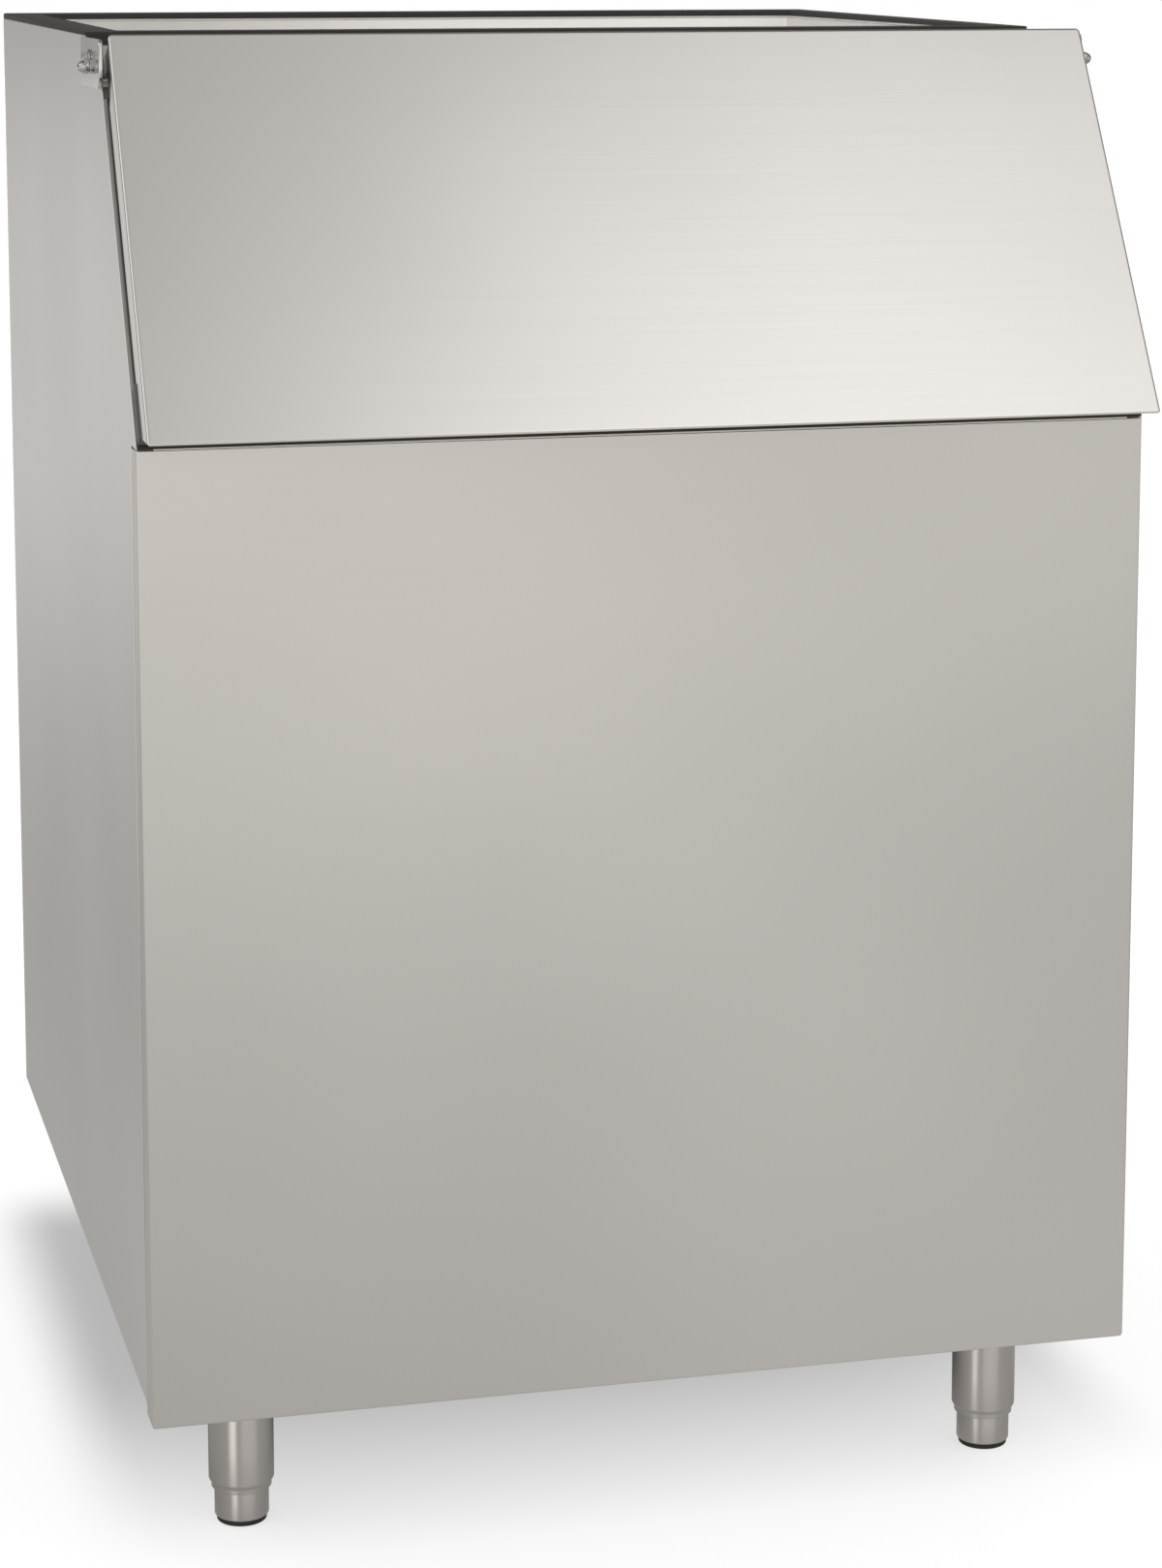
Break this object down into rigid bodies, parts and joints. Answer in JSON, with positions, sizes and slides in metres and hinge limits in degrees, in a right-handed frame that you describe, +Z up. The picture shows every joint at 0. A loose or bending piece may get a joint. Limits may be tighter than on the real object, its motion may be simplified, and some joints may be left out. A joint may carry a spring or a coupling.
{
  "type": "ice storage bin",
  "caption": "Floor-standing insulated ice bin with a slanted top-hinged door, an open gasketed top for an ice maker, a stainless tub with a drain and adjustable legs.",
  "frame": {"origin": "on the floor, under the middle of the bin's outer box", "axes": "+Z up, -Y towards the front with the door, +X to the right of someone facing +Y, so the bin's width runs along X"},
  "size_m": [0.7968, 0.9062, 1.13],
  "materials": {
    "cabinet_steel": "satin",
    "door_steel": "satin",
    "tub_steel": "satin",
    "hardware_steel": "polished",
    "leg_steel": "satin",
    "black_gasket": "matte",
    "grey_seal": "matte",
    "black_pad": "matte",
    "foam": "matte",
    "white_plastic": "satin",
    "nylon": "matte"
  },
  "bodies": {
    "cabinet": {"tub_liner": "tub_steel", "foam_left": "foam", "foam_right": "foam", "foam_floor": "foam", "foam_front": "foam", "foam_back": "foam", "foam_header": "foam", "side_panel_left": "cabinet_steel", "side_panel_right": "cabinet_steel", "front_panel": "cabinet_steel", "back_panel": "cabinet_steel", "base_pan": "cabinet_steel", "ledge_cover": "cabinet_steel", "rim_frame": "tub_steel", "top_gasket": "black_gasket", "opening_trim": "tub_steel", "door_bumper_left": "grey_seal", "door_bumper_right": "grey_seal", "hinge_bracket_left": "hardware_steel", "hinge_bracket_right": "hardware_steel", "hinge_backing_left": "hardware_steel", "hinge_backing_right": "hardware_steel", "upper_bolt_left": "hardware_steel", "upper_bolt_right": "hardware_steel", "rear_rivet_left": "hardware_steel", "rear_rivet_right": "hardware_steel", "lock_nut_left": "hardware_steel", "lock_nut_right": "hardware_steel", "acorn_nut_left": "hardware_steel", "acorn_nut_right": "hardware_steel", "pivot_bolt_left": "hardware_steel", "pivot_bolt_right": "hardware_steel", "pivot_nut_left": "hardware_steel", "pivot_nut_right": "hardware_steel", "leg_plate_front_left": "leg_steel", "leg_plate_front_right": "leg_steel", "leg_plate_rear_left": "leg_steel", "leg_plate_rear_right": "leg_steel", "leg_tube_front_left": "leg_steel", "leg_tube_front_right": "leg_steel", "leg_tube_rear_left": "leg_steel", "leg_tube_rear_right": "leg_steel", "drain_outlet": "white_plastic"},
    "door": {"door_skin": "door_steel", "door_foam": "foam", "door_inner_panel": "white_plastic", "door_seal": "grey_seal", "door_ear_left": "hardware_steel", "door_ear_right": "hardware_steel", "pivot_bush_left": "nylon", "pivot_bush_right": "nylon"},
    "foot_assembly_front_left": {"foot_front_left": "leg_steel", "foot_pad_front_left": "black_pad"},
    "foot_assembly_front_right": {"foot_front_right": "leg_steel", "foot_pad_front_right": "black_pad"},
    "foot_assembly_rear_left": {"foot_rear_left": "leg_steel", "foot_pad_rear_left": "black_pad"},
    "foot_assembly_rear_right": {"foot_rear_right": "leg_steel", "foot_pad_rear_right": "black_pad"}
  },
  "joints": [
    {"name": "door_hinge", "type": "hinge", "parent": "cabinet", "child": "door", "pos_m": [0, -0.2506, 1.1045], "axis": [-1, 0, 0], "range_deg": [0, 105]},
    {"name": "foot_screw_front_left", "type": "slide", "parent": "cabinet", "child": "foot_assembly_front_left", "axis": [0, 0, 1], "range_m": [-0.025, 0.015]},
    {"name": "foot_screw_front_right", "type": "slide", "parent": "cabinet", "child": "foot_assembly_front_right", "axis": [0, 0, 1], "range_m": [-0.025, 0.015]},
    {"name": "foot_screw_rear_left", "type": "slide", "parent": "cabinet", "child": "foot_assembly_rear_left", "axis": [0, 0, 1], "range_m": [-0.025, 0.015]},
    {"name": "foot_screw_rear_right", "type": "slide", "parent": "cabinet", "child": "foot_assembly_rear_right", "axis": [0, 0, 1], "range_m": [-0.025, 0.015]}
  ]
}
